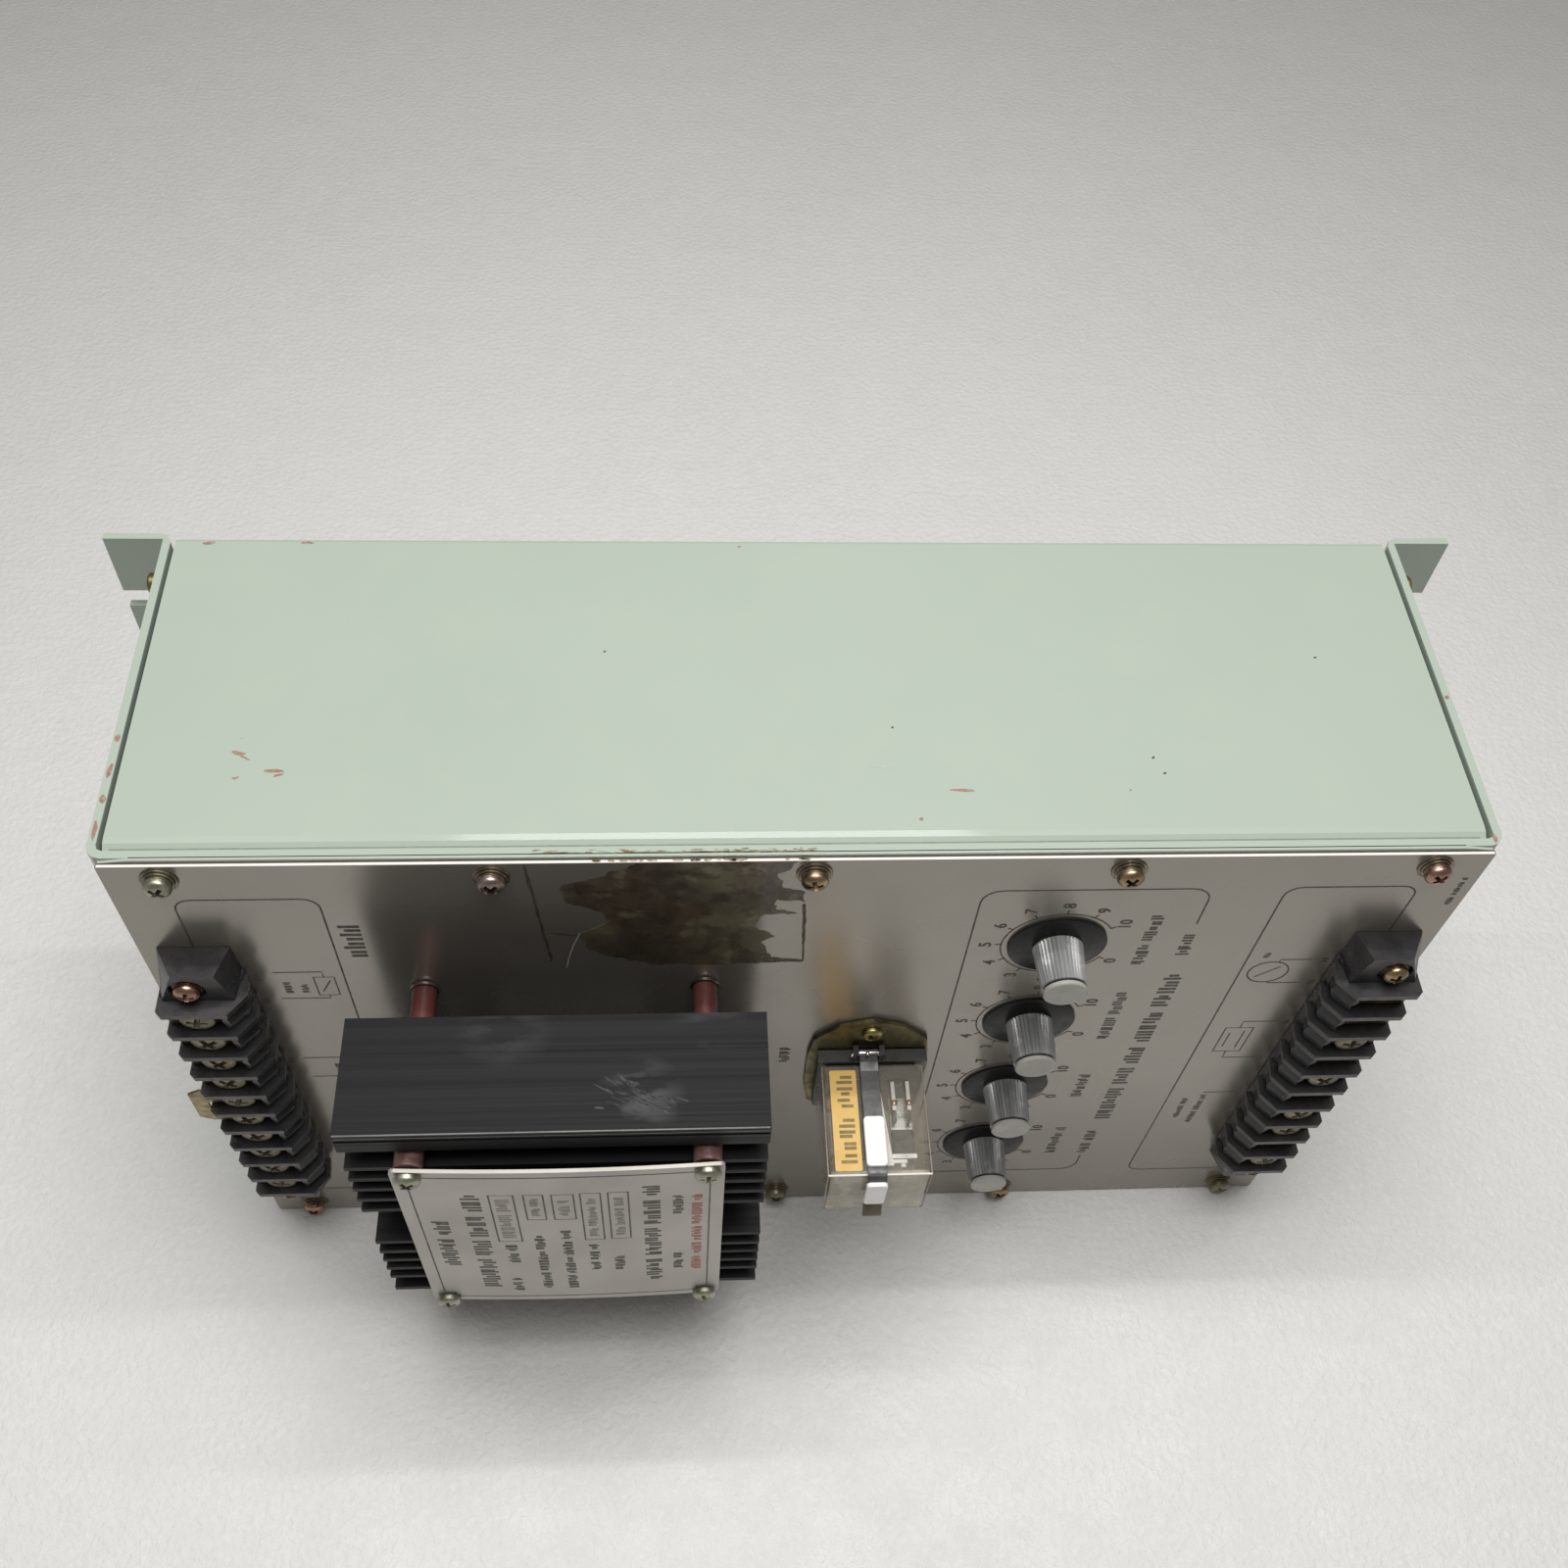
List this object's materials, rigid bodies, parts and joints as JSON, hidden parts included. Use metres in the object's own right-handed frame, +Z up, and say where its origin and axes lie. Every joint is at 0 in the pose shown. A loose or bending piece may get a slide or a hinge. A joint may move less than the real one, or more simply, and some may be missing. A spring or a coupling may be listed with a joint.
{
  "type": "wall-mounting automatic voltage regulator unit",
  "caption": "Sheet-metal control unit with a metal front panel, finned heatsink with nameplate, plug-in relay, setting knobs and a terminal block at each end.",
  "frame": {"origin": "centre of the bounding box at the surface the unit lies on", "axes": "+X along the long side, to the right as seen from the front; the front panel faces -Y and the mounting ears are at +Y; +Z up, with the unit lying on its lower long side"},
  "size_m": [0.35, 0.1526, 0.201],
  "materials": {
    "green_paint": "satin enamel on steel sheet",
    "panel_aluminium": "fine brushed, clear anodised",
    "black_moulding": "moulded, slightly glossy",
    "black_anodised": "black anodised extrusion",
    "phenolic": "reddish brown laminate tube",
    "screw_steel": "plated steel",
    "screw_brass": "tarnished brass",
    "yellow_zinc": "yellow passivated zinc plate",
    "clear_cover": "clear polycarbonate, slightly yellowed",
    "copper_wire": "enamelled copper winding",
    "knob_grey": "grey knurled plastic, black skirt",
    "laminate": "glass epoxy board",
    "core_steel": "laminated core",
    "winding_tape": "taped winding"
  },
  "bodies": {
    "unit": {"chassis": "green_paint", "cover": "green_paint", "front_panel": "panel_aluminium", "panel_screw_1": "screw_brass", "panel_screw_2": "screw_brass", "panel_screw_3": "screw_brass", "panel_screw_4": "screw_brass", "panel_screw_5": "screw_brass", "panel_screw_6": "screw_brass", "panel_screw_7": "screw_brass", "panel_screw_8": "screw_brass", "panel_screw_9": "screw_brass", "panel_screw_10": "screw_brass", "side_screw_left": "yellow_zinc", "terminal_block_left": "black_moulding", "block_screw_left_top": "screw_brass", "block_screw_left_bottom": "screw_brass", "side_screw_right": "yellow_zinc", "terminal_block_right": "black_moulding", "block_screw_right_top": "screw_brass", "block_screw_right_bottom": "screw_brass", "heatsink": "black_anodised", "heatsink_pillar_1": "phenolic", "nameplate_spacer_1": "phenolic", "nameplate_screw_1": "screw_steel", "potentiometer_1": "screw_steel", "heatsink_pillar_2": "phenolic", "nameplate_spacer_2": "phenolic", "nameplate_screw_2": "screw_steel", "potentiometer_2": "screw_steel", "heatsink_pillar_3": "phenolic", "nameplate_spacer_3": "phenolic", "nameplate_screw_3": "screw_steel", "potentiometer_3": "screw_steel", "heatsink_pillar_4": "phenolic", "nameplate_spacer_4": "phenolic", "nameplate_screw_4": "screw_steel", "potentiometer_4": "screw_steel", "nameplate": "panel_aluminium", "power_module": "black_moulding", "relay_mounting_plate": "yellow_zinc", "relay_socket": "black_moulding", "socket_screw_top": "yellow_zinc", "socket_screw_bottom": "yellow_zinc", "relay_base": "black_moulding", "relay_case": "clear_cover", "relay_coil": "copper_wire", "circuit_board": "laminate", "transformer_core": "core_steel", "transformer_coil": "winding_tape"},
    "knob_1_turning": {"knob_1": "knob_grey", "pot_shaft_1": "screw_steel"},
    "knob_2_turning": {"knob_2": "knob_grey", "pot_shaft_2": "screw_steel"},
    "knob_3_turning": {"knob_3": "knob_grey", "pot_shaft_3": "screw_steel"},
    "knob_4_turning": {"knob_4": "knob_grey", "pot_shaft_4": "screw_steel"},
    "clip": {"relay_clip": "screw_steel"},
    "armature": {"relay_armature": "screw_steel"}
  },
  "joints": [
    {"name": "knob_1_turn", "type": "hinge", "parent": "unit", "child": "knob_1_turning", "pos_m": [0.062, -0.02405, 0.1618], "axis": [0, 1, 0], "range_deg": [-150, 150]},
    {"name": "knob_2_turn", "type": "hinge", "parent": "unit", "child": "knob_2_turning", "pos_m": [0.062, -0.02405, 0.1218], "axis": [0, 1, 0], "range_deg": [-150, 150]},
    {"name": "knob_3_turn", "type": "hinge", "parent": "unit", "child": "knob_3_turning", "pos_m": [0.062, -0.02405, 0.0824], "axis": [0, 1, 0], "range_deg": [-150, 150]},
    {"name": "knob_4_turn", "type": "hinge", "parent": "unit", "child": "knob_4_turning", "pos_m": [0.062, -0.02405, 0.0422], "axis": [0, 1, 0], "range_deg": [-150, 150]},
    {"name": "relay_clip_swing", "type": "hinge", "parent": "unit", "child": "clip", "pos_m": [0.02, -0.02745, 0.1106], "axis": [-1, 0, 0], "range_deg": [0, 85]},
    {"name": "relay_armature_pull", "type": "hinge", "parent": "unit", "child": "armature", "pos_m": [0.0209, -0.05425, 0.1043], "axis": [1, 0, 0], "range_deg": [0, 4], "stiffness_Nm_per_rad": 0.02, "springref_deg": -8.59}
  ]
}
